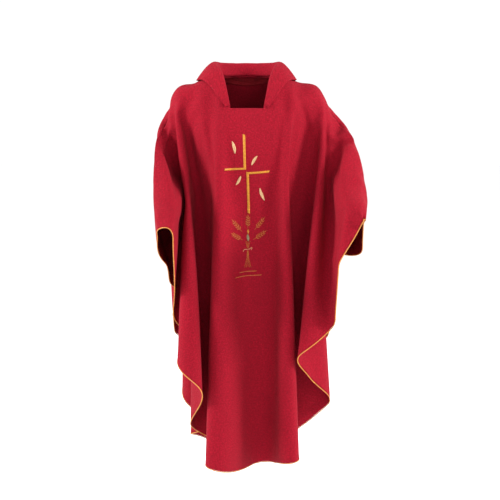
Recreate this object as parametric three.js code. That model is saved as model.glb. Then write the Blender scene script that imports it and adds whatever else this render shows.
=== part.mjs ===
// Chasuble: a loose vestment of two broad cloth panels, front and back, joined only by the
// shoulder seams, with a square neck opening, a turned-down collar, corded hems and an
// embroidered cross over a sheaf of wheat. It is modelled empty, draped as it is worn with the
// arms half raised, so each panel hangs as a curtain from the line of the shoulders and arms.
//
// Millimetres, +Z up. Origin: the level of the shoulder seams at the neck, on the centre line.
// The front of the garment faces -Y; +X is to the viewer's right.

import * as THREE from 'three';

// ---------------------------------------------------------------- driving dimensions

const HALF_WIDTH = 760;          // centre line to cuff, laid flat
const LENGTH = 1360;             // neck level to front hem, laid flat
const SEAM_FALL = Math.tan(THREE.MathUtils.degToRad(12));   // slope of the shoulder seams, flat
const CUT_FRONT = 2.0;           // roundness of the hem line: 2 is an ellipse, more is squarer
const CUT_BACK = 1.8;
const CUFF = 732;                // upright edge of the cuffs, just inside HALF_WIDTH

const NECK_TOP = 85;             // half width of the neck opening at the shoulder seams
const NECK_FOOT = 53;            // half width of its straight front edge
const NECK_DROP = 180;           // depth of the front edge below neck level, laid flat
const NECK_BACK = 35;            // depth of the back neck curve

const CLOTH = 1.2;               // panel cloth
const TAPE = 0.6;                // seam tapes, facings and interlining
const GAP = 0.3;                 // clearance between pieces that lie on each other
const SEAM_GAP = 1.2;            // each panel's edge from the seam line, over the seam tape
const CORD_RADIUS = 2;           // gold hem cord
const FACING_WIDTH = 34;
const TAPE_HALF_WIDTH = 9;

const COLLAR_RISE = 56;          // height of the collar's roll above the neck seam
const COLLAR_FALL = 68;          // width of the turned-down part at the shoulders
const COLLAR_LAYER = 1.5;        // spacing of the collar's three layers

const CHEST_BEND = 200;          // height over which the cloth turns down from the shoulders
const ARM_BEND = 105;            // and over which it turns down from the arms

const CROSS_DROP = 394;          // centre of the cross below neck level, along the cloth
const BAR = 7.5;                 // width of the cross's embroidered bars
const RELIEF = 1.0;              // thickness of the embroidery

const RED = 0xb5121f, LINING_RED = 0x8e101b, GOLD = 0xd08f2a, CREAM = 0xdcc68e, SAGE = 0x8d8560;

// ---------------------------------------------------------------- the drape
// Nine stations from centre line to cuff, HALF_WIDTH / 8 apart on the flat cloth. SEAM is where
// the shoulder seam lies there; FRONT and BACK are where each panel's threads hang in plan.
// Sides are the viewer's left (wrist close to the body) and right (arm held wider).

const SEAM = {
  left: [[0, 0, 0], [-95, 0, -10], [-190, 0, -32], [-262, -15, -92], [-285, -62, -165],
    [-290, -110, -240], [-288, -165, -322], [-282, -232, -392], [-272, -298, -452]],
  right: [[0, 0, 0], [95, 0, -10], [190, 0, -32], [270, -10, -80], [325, -35, -150],
    [352, -62, -238], [366, -110, -320], [376, -170, -385], [375, -235, -428]],
};
const FRONT = {
  left: [[0, -138], [-94, -134], [-160, -112], [-170, -62], [-212, -52],
    [-222, -116], [-212, -176], [-208, -240], [-214, -296]],
  right: [[0, -138], [94, -134], [166, -112], [188, -66], [244, -56],
    [266, -116], [272, -172], [286, -215], [300, -255]],
};
const BACK = {
  left: [[0, 142], [-94, 153], [-176, 126], [-206, 52], [-258, 66],
    [-304, 110], [-330, 66], [-331, -24], [-318, -114]],
  right: [[0, 142], [94, 153], [176, 126], [212, 44], [268, 64],
    [300, 154], [350, 96], [384, 0], [392, -90]],
};
// Tube folds of the front, which open from the chest to the hem: where on the cloth, how wide
// and how far forward.
const TUBES = [{ at: -105, wide: 60, out: 62 }, { at: 55, wide: 50, out: -22 },
  { at: 178, wide: 42, out: 50 }];

const joinSides = (table) => [...table.left].reverse().concat(table.right.slice(1));
const curveOf = (points) => new THREE.CatmullRomCurve3(
  points.map(([x, y, z = 0]) => new THREE.Vector3(x, y, z)));
const seamCurve = curveOf(joinSides(SEAM));
const planCurve = { front: curveOf(joinSides(FRONT)), back: curveOf(joinSides(BACK)) };
const along = (curve, x) => curve.getPoint(
  THREE.MathUtils.clamp((x + HALF_WIDTH) / (2 * HALF_WIDTH), 0, 1));

const smooth = THREE.MathUtils.smoothstep;

// Mid-surface of a panel at x across and drop down the thread from the seam, both along the
// cloth: a quarter ellipse off the seam, then straight down.
function drape(side, x, drop) {
  const seam = along(seamCurve, x);
  const plan = along(planCurve[side], x);
  const bend = THREE.MathUtils.lerp(CHEST_BEND, ARM_BEND, smooth(Math.abs(x), 150, 300));
  const reach = Math.hypot(plan.x - seam.x, plan.y - seam.y);
  const arc = (Math.PI / 2) * Math.sqrt((bend * bend + reach * reach) / 2);
  const turn = (Math.PI / 2) * Math.min(drop / arc, 1);
  // Threads near the cuffs hang aslant, so they take up part of their length in folds.
  const hang = Math.max(drop - arc, 0) * (1 - 0.2 * smooth(Math.abs(x), 200, 600));
  const point = new THREE.Vector3(
    seam.x + (plan.x - seam.x) * Math.sin(turn),
    seam.y + (plan.y - seam.y) * Math.sin(turn),
    seam.z - bend * (1 - Math.cos(turn)) - hang);
  const open = smooth(hang, 0, LENGTH * 0.75);
  if (side === 'front') {
    for (const tube of TUBES) {
      point.y -= tube.out * open * Math.exp(-(((x - tube.at) / tube.wide) ** 2));
    }
  } else {
    point.y += 28 * open * Math.cos(x / 42) * smooth(hang, 0, 500) * (1 - smooth(Math.abs(x), 160, 260));
  }
  return point;
}

// Unit normal of the mid-surface, pointing away from the wearer.
function outward(side, x, drop) {
  const step = 6, down = Math.max(drop, step);
  const across = drape(side, x + step, down).sub(drape(side, x - step, down));
  const fall = drape(side, x, down + step).sub(drape(side, x, down - step));
  const normal = across.cross(fall).normalize();
  return side === 'front' ? normal.negate() : normal;
}

const onCloth = (side, x, drop, lift) =>
  drape(side, x, drop).addScaledVector(outward(side, x, drop), lift);

// Flat outlines, as drops from the seam line.
function hemDrop(side, x) {
  const cut = side === 'front' ? CUT_FRONT : CUT_BACK;
  const seamEnd = HALF_WIDTH * SEAM_FALL;
  const round = (1 - (Math.abs(x) / HALF_WIDTH) ** cut) ** (1 / cut);
  return seamEnd + (LENGTH - seamEnd) * round - Math.abs(x) * SEAM_FALL;
}
function neckDrop(side, x) {
  const a = Math.abs(x);
  if (a >= NECK_TOP) return SEAM_GAP;
  if (side === 'back') {
    return SEAM_GAP + NECK_BACK * Math.sqrt(1 - (a / NECK_TOP) ** 2) + (NECK_TOP - a) * SEAM_FALL;
  }
  if (a <= NECK_FOOT) return NECK_DROP - a * SEAM_FALL;
  const foot = NECK_DROP - NECK_FOOT * SEAM_FALL;
  return THREE.MathUtils.mapLinear(a, NECK_FOOT, NECK_TOP, foot, SEAM_GAP);
}

// ---------------------------------------------------------------- solids from sheets

// Closed solid between two matching grids of points, outer and inner.
function plate(outer, inner) {
  const rows = outer.length, cols = outer[0].length, count = rows * cols;
  const positions = [];
  for (const grid of [outer, inner]) {
    for (const row of grid) for (const p of row) positions.push(p.x, p.y, p.z);
  }
  const index = [];
  const quad = (a, b, c, d) => index.push(a, b, c, a, c, d);
  const at = (i, j) => i * cols + j;
  for (let i = 0; i < rows - 1; i++) {
    for (let j = 0; j < cols - 1; j++) {
      const a = at(i, j), b = at(i, j + 1), c = at(i + 1, j + 1), d = at(i + 1, j);
      quad(a, b, c, d);
      quad(count + a, count + d, count + c, count + b);
    }
  }
  const rim = [];
  for (let j = 0; j < cols - 1; j++) rim.push(at(0, j));
  for (let i = 0; i < rows - 1; i++) rim.push(at(i, cols - 1));
  for (let j = cols - 1; j > 0; j--) rim.push(at(rows - 1, j));
  for (let i = rows - 1; i > 0; i--) rim.push(at(i, 0));
  rim.forEach((a, k) => {
    const b = rim[(k + 1) % rim.length];
    quad(a, count + a, count + b, b);
  });
  const geometry = new THREE.BufferGeometry();
  geometry.setAttribute('position', new THREE.Float32BufferAttribute(positions, 3));
  geometry.setIndex(index);
  return facingOut(geometry);
}

// Turns every triangle over if the solid's signed volume is negative.
function facingOut(geometry) {
  const p = geometry.attributes.position, index = geometry.index.array;
  const a = new THREE.Vector3(), b = new THREE.Vector3(), c = new THREE.Vector3();
  let volume = 0;
  for (let k = 0; k < index.length; k += 3) {
    a.fromBufferAttribute(p, index[k]);
    b.fromBufferAttribute(p, index[k + 1]);
    c.fromBufferAttribute(p, index[k + 2]);
    volume += a.dot(b.cross(c));
  }
  if (volume < 0) {
    for (let k = 0; k < index.length; k += 3) {
      [index[k + 1], index[k + 2]] = [index[k + 2], index[k + 1]];
    }
  }
  geometry.computeVertexNormals();
  return geometry;
}

// Sheet of the given thickness on a panel, its middle lifted off the panel's mid-surface, over
// rows of [x, drop] places on the cloth.
function layer(side, places, lift, thickness) {
  const at = (offset) => places.map((row) => row.map(([x, drop]) => onCloth(side, x, drop, offset)));
  return plate(at(lift + thickness / 2), at(lift - thickness / 2));
}

// Rows of places for a ribbon along a polyline of [x, drop], with mitred corners; halfWidth is
// a number or a function of the fraction of the way along.
function ribbonPlaces(path, halfWidth, across = 2) {
  const width = typeof halfWidth === 'number' ? () => halfWidth : halfWidth;
  const points = path.map(([x, d]) => new THREE.Vector2(x, d));
  return points.map((p, k) => {
    const before = points[Math.max(k - 1, 0)], after = points[Math.min(k + 1, points.length - 1)];
    const into = p.clone().sub(before), out = after.clone().sub(p);
    if (k === 0) into.copy(out);
    if (k === points.length - 1) out.copy(into);
    into.normalize();
    out.normalize();
    const mean = into.clone().add(out).normalize();
    const reach = width(k / (points.length - 1)) / Math.max(mean.dot(into), 0.5);
    const normal = new THREE.Vector2(-mean.y, mean.x).multiplyScalar(reach);
    return Array.from({ length: across + 1 }, (_, j) => {
      const f = (2 * j) / across - 1;
      return [p.x + normal.x * f, p.y + normal.y * f];
    });
  });
}

// Polyline with every leg divided into steps no longer than step.
function divided(points, step) {
  const out = [points[0]];
  for (let k = 1; k < points.length; k++) {
    const [x0, y0] = points[k - 1], [x1, y1] = points[k];
    const n = Math.max(1, Math.ceil(Math.hypot(x1 - x0, y1 - y0) / step));
    for (let i = 1; i <= n; i++) out.push([x0 + ((x1 - x0) * i) / n, y0 + ((y1 - y0) * i) / n]);
  }
  return out;
}

// ---------------------------------------------------------------- panels and hem cords

const HALF_COLUMNS = [0, 26, NECK_FOOT, 59, 65, 72, 78, NECK_TOP, 112, 140, 165, 190, 215, 240, 270,
  300, 335, 370, 405, 440, 475, 510, 545, 580, 615, 650, 680, 708, CUFF];
const COLUMNS = [...HALF_COLUMNS.slice(1).reverse().map((x) => -x), ...HALF_COLUMNS];
const ROWS = 16;

function panelPlaces(side) {
  const places = [];
  for (let r = 0; r <= ROWS; r++) {
    const f = (r / ROWS) ** 1.7;                    // closer rows where the cloth turns down
    places.push(COLUMNS.map((x) => {
      const top = neckDrop(side, x);
      return [x, top + (hemDrop(side, x) - top) * f];
    }));
  }
  return places;
}
const panel = (side) => layer(side, panelPlaces(side), 0, CLOTH);

// The cord runs along a panel's whole free edge: down the left cuff, along the hem, up the
// right cuff, just clear of the cloth's edge.
function hemCord(side) {
  const places = panelPlaces(side), hem = places[ROWS];
  const cuff = (column) => places.slice(1, ROWS).map((row) => row[column])
    .filter((_, r) => r % 3 === 1);
  const last = COLUMNS.length - 1;
  const edge = [...cuff(0), ...hem, ...cuff(last).reverse()];
  const points = edge.map(([x, drop]) => drape(side, x, drop));
  const normals = edge.map(([x, drop]) => outward(side, x, drop));
  const sides = 6, rings = points.map((p, k) => {
    const before = points[Math.max(k - 1, 0)], after = points[Math.min(k + 1, points.length - 1)];
    const into = p.clone().sub(before), out = after.clone().sub(p);
    if (k === 0) into.copy(out);
    if (k === points.length - 1) out.copy(into);
    const tangent = into.normalize().clone().add(out.normalize()).normalize();
    const normal = normals[k].clone().addScaledVector(tangent, -normals[k].dot(tangent)).normalize();
    const away = tangent.clone().cross(normal);
    if (side === 'back') away.negate();
    const stretch = 1 / Math.max(tangent.dot(into), 0.6);
    const centre = p.clone().addScaledVector(away, (CORD_RADIUS + 2 * GAP) * stretch);
    return Array.from({ length: sides }, (_, j) => {
      const angle = (2 * Math.PI * (j + 0.5)) / sides;
      return centre.clone().addScaledVector(away, Math.cos(angle) * CORD_RADIUS)
        .addScaledVector(normal, Math.sin(angle) * CORD_RADIUS);
    });
  });
  return tubeOf(rings);
}

// Closed tube through rings of points, with a flat fan at each end.
function tubeOf(rings) {
  const sides = rings[0].length, positions = rings.flat().flatMap((p) => [p.x, p.y, p.z]);
  const index = [];
  for (let k = 0; k < rings.length - 1; k++) {
    for (let j = 0; j < sides; j++) {
      const a = k * sides + j, b = k * sides + ((j + 1) % sides);
      index.push(a, b, b + sides, a, b + sides, a + sides);
    }
  }
  const end = (rings.length - 1) * sides;
  for (let j = 1; j < sides - 1; j++) {
    index.push(0, j + 1, j, end, end + j, end + j + 1);
  }
  const geometry = new THREE.BufferGeometry();
  geometry.setAttribute('position', new THREE.Float32BufferAttribute(positions, 3));
  geometry.setIndex(index);
  return facingOut(geometry);
}

// ---------------------------------------------------------------- neck: facings, tapes, collar

const EASE = 3.0;                                // slack of the strips inside the neck and seams
const INSIDE = -(CLOTH / 2 + EASE + TAPE / 2);   // their lift off the panel's mid-surface

function neckFacing(side) {
  const inset = FACING_WIDTH / 2 + 2;
  const edge = side === 'front'
    ? divided([[-NECK_TOP - inset, 14], [-NECK_FOOT - inset, NECK_DROP + inset],
      [NECK_FOOT + inset, NECK_DROP + inset], [NECK_TOP + inset, 14]], 20)
    : Array.from({ length: 11 }, (_, k) => {
      const angle = Math.PI * (k / 10);
      return [-(NECK_TOP + inset) * Math.cos(angle), 14 + (NECK_BACK + inset) * Math.sin(angle)];
    });
  return layer(side, ribbonPlaces(edge, FACING_WIDTH / 2), INSIDE - 0.8 * EASE, TAPE);
}

// Tape under a shoulder seam, lying half on each panel and creased along the seam line.
function seamTape(hand) {
  const at = (lift) => {
    const rows = [];
    for (let x = hand * (NECK_TOP + FACING_WIDTH + 16); Math.abs(x) < CUFF - 10; x += hand * 31) {
      const ridge = outward('front', x, 0).add(outward('back', x, 0)).normalize();
      rows.push([
        onCloth('back', x, TAPE_HALF_WIDTH, lift),
        drape('front', x, 0).addScaledVector(ridge, 1.5 * lift),
        onCloth('front', x, TAPE_HALF_WIDTH, lift),
      ]);
    }
    return rows;
  };
  return plate(at(INSIDE + TAPE / 2), at(INSIDE - TAPE / 2));
}

// The neck edge from the front left corner, round the back, to the front right corner: the
// panel it is on, its place on the cloth, and the direction on the cloth away from the neck.
function neckEdge(f) {
  const corner = 0.24;                              // part of the way that is a front edge
  const hand = f < 0.5 ? -1 : 1, g = f < 0.5 ? f : 1 - f;
  if (g < corner) {
    const up = g / corner, x = THREE.MathUtils.lerp(NECK_FOOT, NECK_TOP, up);
    return { side: 'front', x: hand * x, drop: neckDrop('front', x) + 1, awayX: hand, awayDrop: 0 };
  }
  const angle = (Math.PI / 2) * ((g - corner) / (0.5 - corner));
  const x = hand * NECK_TOP * Math.cos(angle);
  return { side: 'back', x, drop: neckDrop('back', x) + 1, awayX: hand * Math.cos(angle),
    awayDrop: Math.sin(angle) };
}

// Middle surface of the collar: up from the neck edge, over the roll, and down to an outer
// edge that lies on the shoulders; it tapers to a point at each front corner.
function collarPoint(f, t) {
  const edge = neckEdge(f), g = Math.min(f, 1 - f);
  const grow = smooth(g, 0, 0.26);
  const fall = 14 + (COLLAR_FALL - 14) * THREE.MathUtils.clamp(g / 0.22, 0, 1);
  const clear = CLOTH / 2 + COLLAR_LAYER + CLOTH + 3 * GAP;
  const foot = onCloth(edge.side, edge.x, edge.drop, clear);
  const rim = onCloth(edge.side, edge.x + edge.awayX * fall,
    edge.drop + edge.awayDrop * fall, clear + 2);
  const rise = 6 + (COLLAR_RISE - 6) * grow;
  const out = rim.clone().sub(foot).setZ(0).normalize();
  const roll = foot.clone().addScaledVector(out, 2 + 8 * grow);
  roll.z = foot.z + rise * 1.25;
  const shoulder = foot.clone().lerp(rim, 0.45);
  shoulder.z = Math.max(foot.z, rim.z) + rise * 0.95;
  return new THREE.CubicBezierCurve3(foot, roll, shoulder, rim).getPoint(t);
}

function collarLayer(lift, thickness) {
  const along = 26, across = 6, step = 0.004;
  const normalAt = (f, t) => {
    const a = collarPoint(Math.min(f + step, 1), t).sub(collarPoint(Math.max(f - step, 0), t));
    const b = collarPoint(f, Math.min(t + 0.02, 1)).sub(collarPoint(f, Math.max(t - 0.02, 0)));
    return a.cross(b).normalize();
  };
  const grid = (offset) => Array.from({ length: along + 1 }, (_, i) => {
    const f = 0.012 + (0.976 * i) / along;
    return Array.from({ length: across + 1 }, (_, j) => {
      const t = j / across;
      return collarPoint(f, t).addScaledVector(normalAt(f, t), offset);
    });
  });
  return plate(grid(lift + thickness / 2), grid(lift - thickness / 2));
}

// ---------------------------------------------------------------- embroidery
// Places are x to the right and y up from the centre of the cross.

const STITCHED = CLOTH / 2 + 2 * GAP + RELIEF / 2;
const place = ([x, y]) => [x, CROSS_DROP - y];

function stitched(points, halfWidth, step = 22) {
  return layer('front', ribbonPlaces(divided(points, step).map(place), halfWidth), STITCHED, RELIEF);
}
// A spindle that swells in the middle: petals, drops and the bud.
const spindle = (from, to, width) => stitched([from, to],
  (f) => 0.6 + (width / 2) * Math.sin(Math.PI * Math.min(f * 0.9 + 0.05, 1)), 6);
// An ear of wheat: paired grains step in and out along it, with a short stem.
const wheatEar = (tip, foot) => stitched([tip, foot],
  (f) => (f > 0.86 ? 1.2 : 1.2 + 4.2 * Math.sin(Math.PI * Math.min(f + 0.1, 1))
    * (0.75 + 0.25 * Math.cos(f * 34))), 3.2);

// ---------------------------------------------------------------- assembly

const chasuble = new THREE.Group();
chasuble.name = 'chasuble';

const cloth = (color) => new THREE.MeshStandardMaterial({ color, roughness: 0.9, metalness: 0 });
const thread = (color) => new THREE.MeshStandardMaterial({ color, roughness: 0.45, metalness: 0.1 });
function add(name, geometry, material) {
  const mesh = new THREE.Mesh(geometry, material);
  mesh.name = name;
  chasuble.add(mesh);
}

add('front_panel', panel('front'), cloth(RED));
add('back_panel', panel('back'), cloth(RED));
add('front_hem_cord', hemCord('front'), thread(GOLD));
add('back_hem_cord', hemCord('back'), thread(GOLD));
add('neck_facing_front', neckFacing('front'), cloth(LINING_RED));
add('neck_facing_back', neckFacing('back'), cloth(LINING_RED));
add('seam_tape_left', seamTape(-1), cloth(LINING_RED));
add('seam_tape_right', seamTape(1), cloth(LINING_RED));
add('collar_top', collarLayer(COLLAR_LAYER, 0.9), cloth(RED));
add('collar_interlining', collarLayer(0, TAPE), cloth(CREAM));
add('collar_under', collarLayer(-COLLAR_LAYER, 0.9), cloth(RED));

add('cross_upper', stitched([[-9, 113], [-6, 7], [-74, 3]], BAR / 2), thread(GOLD));
add('cross_lower', stitched([[74, -3], [3, -9], [9, -137]], BAR / 2), thread(GOLD));

add('petal_upper_left', spindle([-46, 92], [-38, 54], 9), thread(CREAM));
add('petal_lower_left', spindle([-34, -46], [-18, -18], 8), thread(CREAM));
add('petal_upper_right', spindle([34, 46], [16, 18], 8), thread(CREAM));
add('petal_lower_right', spindle([60, -96], [44, -56], 9), thread(CREAM));

add('wheat_ear_centre', wheatEar([7, -142], [7, -187]), thread(GOLD));
add('wheat_ear_upper_left', wheatEar([-48, -158], [-12, -197]), thread(GOLD));
add('wheat_ear_upper_right', wheatEar([61, -152], [29, -190]), thread(GOLD));
add('wheat_ear_lower_left', wheatEar([-54, -200], [-9, -225]), thread(GOLD));
add('wheat_ear_lower_right', wheatEar([69, -195], [26, -222]), thread(GOLD));
add('gold_drop', spindle([8, -190], [8, -203], 6), thread(GOLD));
add('wheat_bud', spindle([8, -207], [8, -226], 9), thread(SAGE));

add('wheat_stalks_upper', stitched([[8, -229], [8, -249]], (f) => 8 - 5.5 * f, 7), thread(GOLD));
add('wheat_tie', stitched([[-7, -262], [4, -254], [22, -250]], 1.6, 7), thread(CREAM));
add('wheat_stalks_lower', stitched([[8, -260], [9, -314]], (f) => 2.5 + 9 * f * f, 9), thread(GOLD));
add('ground_line_upper', stitched([[-21, -331], [38, -327]], 1.6), thread(GOLD));
add('ground_line_lower', stitched([[-40, -346], [55, -341]], 1.6), thread(GOLD));

export default chasuble;
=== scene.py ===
import math
import random

import bmesh
import bpy
import numpy as np
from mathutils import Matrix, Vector
from mathutils.bvhtree import BVHTree
from mathutils.geometry import delaunay_2d_cdt


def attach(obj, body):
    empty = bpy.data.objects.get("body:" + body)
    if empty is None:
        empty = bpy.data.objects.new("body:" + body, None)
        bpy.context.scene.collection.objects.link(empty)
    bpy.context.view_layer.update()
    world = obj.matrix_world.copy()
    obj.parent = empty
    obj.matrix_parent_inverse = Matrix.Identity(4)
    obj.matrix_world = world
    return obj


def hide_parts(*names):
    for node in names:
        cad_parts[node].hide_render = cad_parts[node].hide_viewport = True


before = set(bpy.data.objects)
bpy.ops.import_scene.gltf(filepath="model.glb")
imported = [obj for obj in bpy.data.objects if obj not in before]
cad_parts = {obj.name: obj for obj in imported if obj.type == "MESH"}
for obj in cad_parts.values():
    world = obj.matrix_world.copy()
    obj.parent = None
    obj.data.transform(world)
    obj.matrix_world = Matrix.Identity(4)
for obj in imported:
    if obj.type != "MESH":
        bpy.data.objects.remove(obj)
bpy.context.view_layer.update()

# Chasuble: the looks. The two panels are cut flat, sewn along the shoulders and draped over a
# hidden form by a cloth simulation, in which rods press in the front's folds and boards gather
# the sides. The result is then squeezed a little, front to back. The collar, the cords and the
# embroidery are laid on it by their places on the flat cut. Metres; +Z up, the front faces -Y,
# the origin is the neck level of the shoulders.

FRONT, BACK = -1, 1
LEFT, RIGHT = -1, 1
FLOOR = -1.50

# ---------------------------------------------------------------- camera

CAMERA_PLACE = Vector((0.01, -4.35, -0.13))
CAMERA_TARGET = Vector((0.01, 0.0, -0.587))
FRAME_WIDTH = 1.65               # width of the view at the target
SENSOR = 36.0


def make_camera():
    data = bpy.data.cameras.new("camera")
    camera = bpy.data.objects.new("camera", data)
    bpy.context.scene.collection.objects.link(camera)
    look = CAMERA_TARGET - CAMERA_PLACE
    camera.location = CAMERA_PLACE
    camera.rotation_euler = look.to_track_quat("-Z", "Y").to_euler()
    data.sensor_width = SENSOR
    data.lens = SENSOR * look.length / FRAME_WIDTH
    bpy.context.scene.camera = camera


make_camera()

# ---------------------------------------------------------------- the flat cut

HALF_WIDTH = 0.76                # centre line to cuff
LENGTH = 1.36                    # neck level to hem
SEAM_SLOPE = math.tan(math.radians(14))
HEM_ROUND = {FRONT: 2.0, BACK: 1.8}      # 2 is an ellipse, less is more pointed
NECK_TOP = 0.085                 # half width of the neck opening at the seams
NECK_FOOT = 0.053                # half width of its straight front edge
NECK_DROP = 0.180                # depth of that edge below neck level
NECK_BACK = 0.035                # depth of the back neck curve
SPACING = 0.022                  # between the simulated threads
CLOTH = 0.0012                   # thickness of the cloth


def smoothstep(value, low, high):
    t = np.clip((value - low) / (high - low), 0, 1)
    return t * t * (3 - 2 * t)


def seam_height(x):
    return -abs(x) * SEAM_SLOPE


def hem_curve(side):
    """Points (x, z) of the hem's right half, from the cuff down to the centre."""
    power = 2 / HEM_ROUND[side]
    cuff = seam_height(HALF_WIDTH)
    angles = np.linspace(0, math.pi / 2, 401)
    return [(HALF_WIDTH * abs(math.cos(a)) ** power,
             cuff - (LENGTH + cuff) * abs(math.sin(a)) ** power) for a in angles]


def neck_curve(side):
    """Points of the neck edge from left to right."""
    top = seam_height(NECK_TOP)
    if side == FRONT:
        return [(-NECK_TOP, top), (-NECK_FOOT, -NECK_DROP), (NECK_FOOT, -NECK_DROP),
                (NECK_TOP, top)]
    return [(-NECK_TOP * math.cos(a), top - NECK_BACK * math.sin(a))
            for a in np.linspace(0, math.pi, 25)]


def reach_along(points):
    """Distance of each point along the line of points."""
    legs = np.linalg.norm(np.diff(points, axis=0), axis=1)
    return np.concatenate([[0], np.cumsum(legs)])


def between(at, known, rows):
    """Each column of rows, known at the given places, read at others."""
    return np.stack([np.interp(at, known, rows[:, k]) for k in range(rows.shape[1])], 1)


def unit(rows):
    return rows / np.linalg.norm(rows, axis=-1, keepdims=True)


def resampled(points, step):
    points = np.array(points, float)
    reach = reach_along(points)
    at = np.linspace(0, reach[-1], max(1, round(reach[-1] / step)) + 1)
    return between(at, reach, points)


def outline(side):
    """The panel's closed outline, counterclockwise seen from the front, a point per SPACING."""
    mirrored = [-1, 1]
    right_hem = resampled(hem_curve(side), SPACING)
    left_seam = resampled([(-HALF_WIDTH, seam_height(HALF_WIDTH)),
                           (-NECK_TOP, seam_height(NECK_TOP))], SPACING)
    corners = neck_curve(side)
    if side == FRONT:
        legs = [resampled(pair, SPACING) for pair in zip(corners, corners[1:])]
        neck = np.concatenate([leg[:-1] for leg in legs] + [legs[-1][-1:]])
    else:
        neck = resampled(corners, SPACING)
    return np.concatenate([right_hem[:-1], (right_hem[::-1] * mirrored)[:-1], left_seam[:-1],
                           neck[:-1], (left_seam[::-1] * mirrored)[:-1]])


def inside(points, loop):
    hits = np.zeros(len(points), bool)
    x, z = points[:, 0], points[:, 1]
    for (x1, z1), (x2, z2) in zip(loop, np.roll(loop, -1, axis=0)):
        crosses = (z1 > z) != (z2 > z)
        hits ^= crosses & (x < (x2 - x1) * (z - z1) / (z2 - z1 + 1e-30) + x1)
    return hits


def distance_to(points, loop):
    nearest = np.full(len(points), 1e9)
    for a, b in zip(loop, np.roll(loop, -1, axis=0)):
        leg = b - a
        t = np.clip((points - a) @ leg / (leg @ leg), 0, 1)
        nearest = np.minimum(nearest, np.linalg.norm(points - a - t[:, None] * leg, axis=1))
    return nearest


def cut_panel(side):
    """Places (x, z) and triangles of a panel: a square grid inside the panel's outline."""
    loop = outline(side)
    columns = np.arange(-round(HALF_WIDTH / SPACING), round(HALF_WIDTH / SPACING) + 1) * SPACING
    rows = -np.arange(round(LENGTH / SPACING) + 1) * SPACING
    grid = np.stack(np.meshgrid(columns, rows), -1).reshape(-1, 2)
    grid = grid[inside(grid, loop) & (distance_to(grid, loop) > 0.55 * SPACING)]
    points = [Vector(p) for p in np.concatenate([loop, grid])]
    edges = [(i, (i + 1) % len(loop)) for i in range(len(loop))]
    places, _, triangles, *_ = delaunay_2d_cdt(points, edges, [], 1, 1e-6)
    return [tuple(p) for p in places], [tuple(t) for t in triangles]


def sewn_cut():
    """Both panels with one set of points along the shoulder seams: places as rows of
    (x, z, side), side 0 on the seams, and triangles as (side, corners)."""
    places, faces, on_seam = [], [], {}
    for side in (FRONT, BACK):
        flat, triangles = cut_panel(side)
        index = []
        for x, z in flat:
            key = (round(x, 5), round(z, 5))
            if abs(z - seam_height(x)) < 1e-5 and key in on_seam:
                index.append(on_seam[key])
                places[on_seam[key]] = (x, z, 0)
                continue
            if abs(z - seam_height(x)) < 1e-5:
                on_seam[key] = len(places)
            index.append(len(places))
            places.append((x, z, side))
        for t in triangles:
            (ax, az), (bx, bz), (cx, cz) = (flat[i] for i in t)
            turn = (bx - ax) * (cz - az) - (bz - az) * (cx - ax)
            corners = [index[i] for i in t]
            faces.append((side, corners if (turn > 0) == (side == FRONT) else corners[::-1]))
    return np.array(places), faces


# ---------------------------------------------------------------- the hidden form

# Sections of the body as rows of (z, half width, half depth, y of the middle).
BODY = [
    (0.10, 0.055, 0.050, -0.010), (0.03, 0.058, 0.052, -0.010), (-0.008, 0.066, 0.050, -0.010),
    (-0.020, 0.100, 0.058, -0.008), (-0.038, 0.140, 0.066, -0.006), (-0.062, 0.178, 0.075, -0.005),
    (-0.09, 0.196, 0.084, -0.003), (-0.12, 0.200, 0.094, -0.003), (-0.16, 0.192, 0.105, -0.003),
    (-0.25, 0.168, 0.116, -0.005), (-0.40, 0.138, 0.106, 0.0), (-0.52, 0.112, 0.096, 0.0),
    (-0.68, 0.090, 0.080, 0.005), (-0.80, 0.075, 0.060, 0.015), (-1.00, 0.060, 0.045, 0.04),
    (-1.40, 0.050, 0.030, 0.06)]
BODY_SQUARENESS = 2.3            # exponent of each section's super-ellipse
SHOULDER = {LEFT: Vector((-0.185, 0.0, -0.108)), RIGHT: Vector((0.190, 0.0, -0.105))}
ELBOW = {LEFT: Vector((-0.245, 0.03, -0.365)), RIGHT: Vector((0.315, 0.0, -0.34))}
WRIST = {LEFT: Vector((-0.25, -0.205, -0.45)), RIGHT: Vector((0.335, -0.215, -0.42))}
HAND = 0.04                      # from the wrist to the fingers
UPPER_ARM, ELBOW_RADIUS, WRIST_RADIUS = 0.052, 0.041, 0.026

ARMS_MOVE = (8, 70)              # frames in which the arms come down from sideways
VALLEY_MOVES = (20, 80)          # the rod that presses in the valley of the front
CREASES_MOVE = (35, 100)         # and the rods at both sides of it
SIDES_MOVE = (40, 100)           # and the boards gather the sides
LAST_FRAME = 150

# These two squeeze and shift the cloth so that it keeps within the CAD model's depth. The right
# mend is a deeper CAD model, with 1 and 0 here.
DEPTH_SHARE, FORWARD = 0.94, -0.007

CREASE_RADIUS = {LEFT: 0.024, RIGHT: 0.015}
VALLEY_RADIUS = 0.030
ROD_TOP, ROD_FOOT = -0.30, -1.45
VALLEY_TOP = -0.72
VALLEY_X = 0.050
BOARD_THICK, BOARD_DEEP = 0.06, 0.76
BOARD_LEAN = 0.02                # how far the board's top stands further out
BOARD_START = 1.1                # from the centre, before it moves in
FLESH, SKIN = 0.02, 0.004        # inner and outer collision depth of the forms


def link(obj):
    bpy.context.scene.collection.objects.link(obj)
    return obj


def mesh_object(name, points, faces):
    mesh = bpy.data.meshes.new(name)
    mesh.from_pydata([tuple(p) for p in points], [], [tuple(f) for f in faces])
    mesh.update()
    return link(bpy.data.objects.new(name, mesh))


def obstacle(obj):
    obj.modifiers.new("collision", "COLLISION")
    obj.collision.thickness_outer = SKIN
    obj.collision.thickness_inner = FLESH
    obj.collision.cloth_friction = 20
    obj.collision.damping = 0.3
    return obj


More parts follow.
